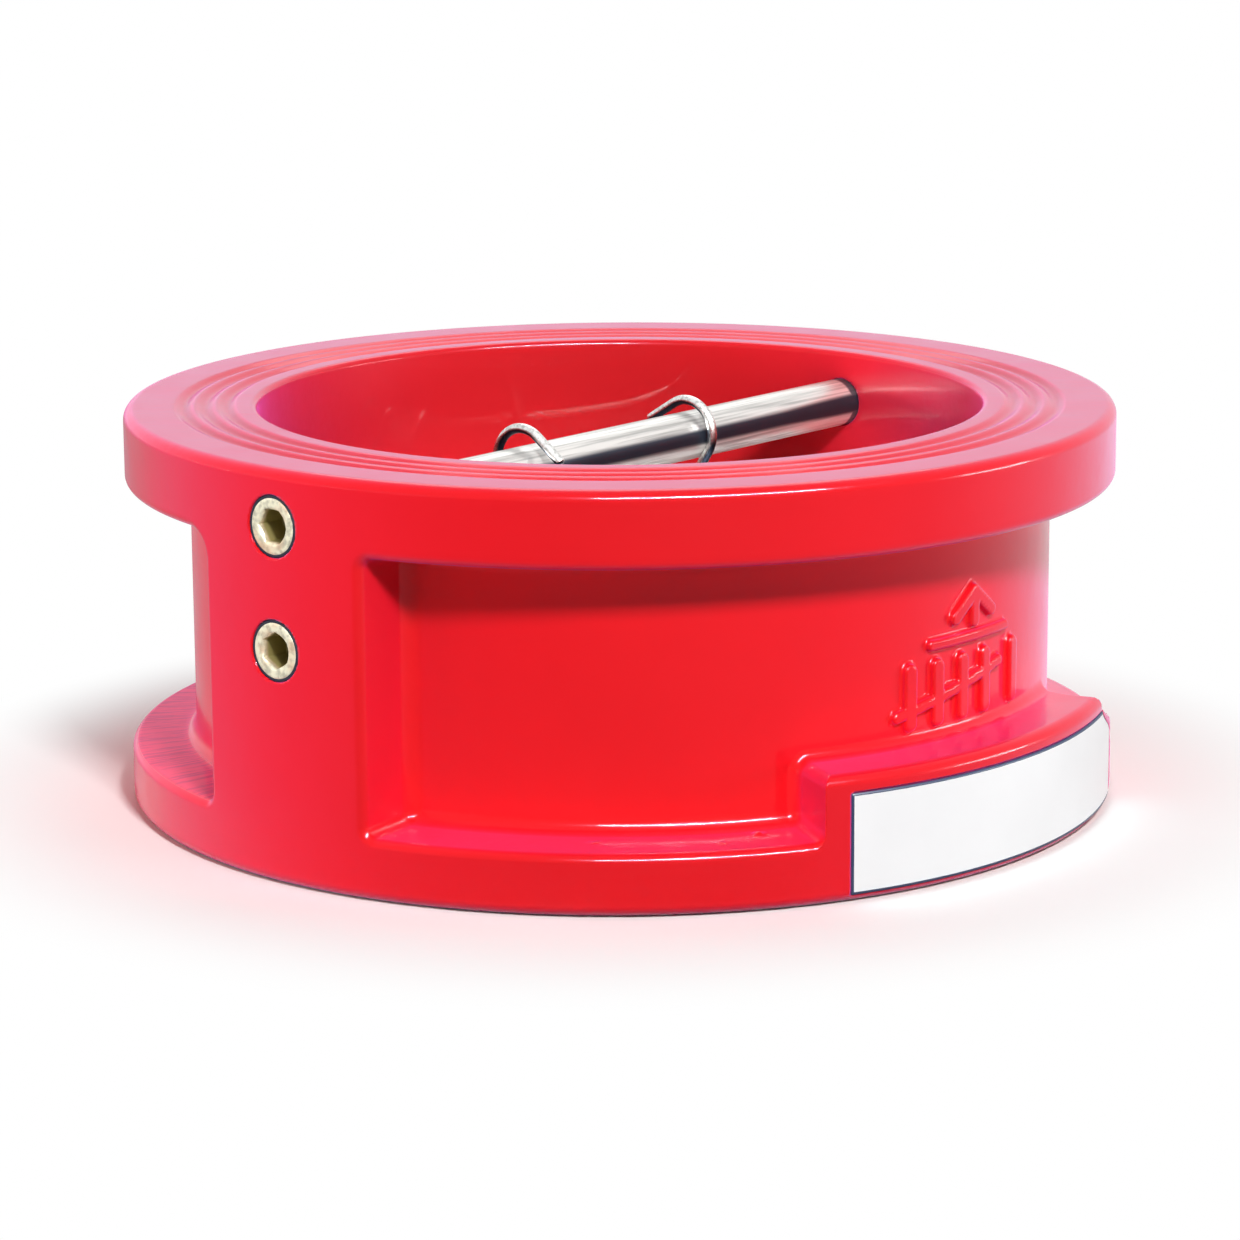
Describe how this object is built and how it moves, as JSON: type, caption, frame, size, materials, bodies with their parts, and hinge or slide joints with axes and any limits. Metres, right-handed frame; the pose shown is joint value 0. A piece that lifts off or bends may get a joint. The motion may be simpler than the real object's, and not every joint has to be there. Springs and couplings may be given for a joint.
{
  "type": "dual plate wafer check valve",
  "caption": "Short round wafer check valve with two sprung half-disc plates hinged on a pin across the bore, a stop pin above them and ridged gasket faces.",
  "frame": {"origin": "centre of the inlet face, the face the valve stands on", "axes": "+Z is the flow direction and points out of the outlet face; X is along the hinge pin and the stop pin; -Y is the side with the blank label"},
  "size_m": [0.16, 0.16, 0.064],
  "materials": {
    "red_coating": "glossy",
    "seat_rubber": "matte",
    "plate_steel": "satin",
    "pin_steel": "polished",
    "spring_steel": "polished",
    "bearing_plastic": "satin",
    "plug_zinc": "satin",
    "gasket_rubber": "matte",
    "label_white": "satin"
  },
  "bodies": {
    "casing": {"valve_body": "red_coating", "seat_ring": "seat_rubber", "hinge_pin": "pin_steel", "stop_pin": "pin_steel", "spring_front": "spring_steel", "spring_back": "spring_steel", "spring_divider": "bearing_plastic", "spring_spacer_left": "bearing_plastic", "spring_spacer_right": "bearing_plastic", "body_bearing_left": "bearing_plastic", "body_bearing_right": "bearing_plastic", "lug_bearing_left": "bearing_plastic", "lug_bearing_right": "bearing_plastic", "hinge_plug_left": "plug_zinc", "hinge_plug_right": "plug_zinc", "stop_plug_left": "plug_zinc", "stop_plug_right": "plug_zinc", "hinge_gasket_left": "gasket_rubber", "hinge_gasket_right": "gasket_rubber", "stop_gasket_left": "gasket_rubber", "stop_gasket_right": "gasket_rubber", "nameplate": "label_white"},
    "front_plate": {"plate_front": "plate_steel"},
    "back_plate": {"plate_back": "plate_steel"}
  },
  "joints": [
    {"name": "front_plate_hinge", "type": "hinge", "parent": "casing", "child": "front_plate", "pos_m": [0, 0, 0.0362], "axis": [-1, 0, 0], "range_deg": [0, 80], "stiffness_Nm_per_rad": 0.09, "springref_deg": -91.67, "deforming": ["spring_front"]},
    {"name": "back_plate_hinge", "type": "hinge", "parent": "casing", "child": "back_plate", "pos_m": [0, 0, 0.0362], "axis": [1, 0, 0], "range_deg": [0, 80], "stiffness_Nm_per_rad": 0.09, "springref_deg": -91.67, "deforming": ["spring_back"]}
  ]
}
